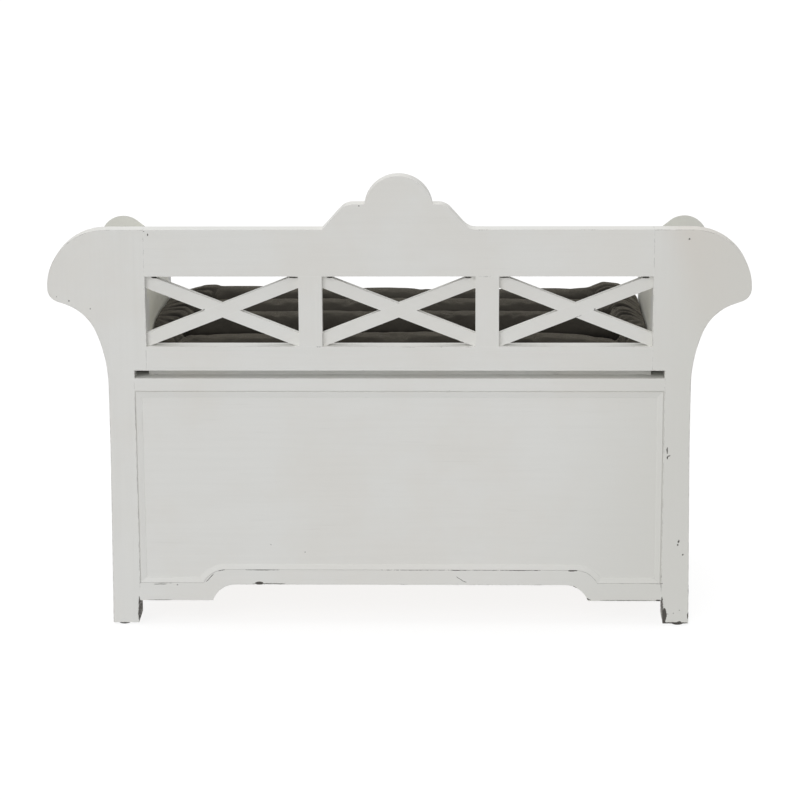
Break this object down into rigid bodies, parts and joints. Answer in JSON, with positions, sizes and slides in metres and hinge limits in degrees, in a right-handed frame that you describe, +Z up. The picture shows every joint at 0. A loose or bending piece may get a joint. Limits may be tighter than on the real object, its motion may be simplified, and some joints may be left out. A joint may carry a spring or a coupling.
{
  "type": "storage bench",
  "caption": "Painted wooden storage bench with scrolled arms, a latticed back with a rounded crest, a hinged seat lid over a chest and a loose channelled cushion.",
  "frame": {"origin": "on the floor, under the centre of the bench's bounding box", "axes": "+X along the bench to its right end as seen from the front, +Y from the open front edge to the latticed back, +Z up"},
  "size_m": [1.2, 0.45, 0.7979],
  "materials": {
    "painted_wood": "matt white paint, worn at the edges",
    "bare_wood": "unpainted brown wood",
    "cushion_cloth": "woven dark taupe grey cotton",
    "hinge_metal": "dull aged brass",
    "screw_metal": "zinc plated",
    "glide_plastic": "black"
  },
  "bodies": {
    "bench": {"arm_inner_panel_left": "painted_wood", "arm_inner_panel_right": "painted_wood", "arm_outer_panel_left": "painted_wood", "arm_outer_panel_right": "painted_wood", "arm_rest_left": "painted_wood", "arm_rest_right": "painted_wood", "back_lower_rail": "painted_wood", "back_mullion_left": "painted_wood", "back_mullion_right": "painted_wood", "back_stile_left": "painted_wood", "back_stile_right": "painted_wood", "back_top_rail": "painted_wood", "chest_back_apron": "painted_wood", "chest_back_bead_left": "painted_wood", "chest_back_bead_low": "painted_wood", "chest_back_bead_right": "painted_wood", "chest_back_bead_top": "painted_wood", "chest_back_panel": "painted_wood", "chest_back_rail": "painted_wood", "chest_floor": "bare_wood", "chest_front_apron": "painted_wood", "chest_front_bead_left": "painted_wood", "chest_front_bead_low": "painted_wood", "chest_front_bead_right": "painted_wood", "chest_front_bead_top": "painted_wood", "chest_front_panel": "painted_wood", "chest_front_rail": "painted_wood", "corner_blocks": "bare_wood", "floor_cleats": "bare_wood", "foot_glides": "glide_plastic", "front_post_left": "painted_wood", "front_post_right": "painted_wood", "hinge_leaves_rail": "hinge_metal", "hinge_pins": "hinge_metal", "hinge_rail": "painted_wood", "hinge_screws_rail": "screw_metal", "lattice_left_front_bar": "painted_wood", "lattice_left_rear_bar": "painted_wood", "lattice_middle_front_bar": "painted_wood", "lattice_middle_rear_bar": "painted_wood", "lattice_right_front_bar": "painted_wood", "lattice_right_rear_bar": "painted_wood", "rear_post_left": "painted_wood", "rear_post_right": "painted_wood", "seat_bearer": "painted_wood", "side_bottom_rail_left": "painted_wood", "side_bottom_rail_right": "painted_wood", "side_panel_left": "painted_wood", "side_panel_right": "painted_wood", "side_top_rail_left": "painted_wood", "side_top_rail_right": "painted_wood"},
    "lid": {"batten_screws": "screw_metal", "hinge_leaves_lid": "hinge_metal", "hinge_screws_lid": "screw_metal", "lid_batten_left": "bare_wood", "lid_batten_right": "bare_wood", "seat_lid": "painted_wood"},
    "cushion": {"seat_cushion": "cushion_cloth"}
  },
  "joints": [
    {"name": "lid_hinge", "type": "hinge", "parent": "bench", "child": "lid", "pos_m": [0, 0.16, 0.4676], "axis": [-1, 0, 0], "range_deg": [0, 82]},
    {"name": "cushion_slide", "type": "slide", "parent": "lid", "child": "cushion", "axis": [0, -1, 0], "range_m": [0, 0.35]}
  ]
}
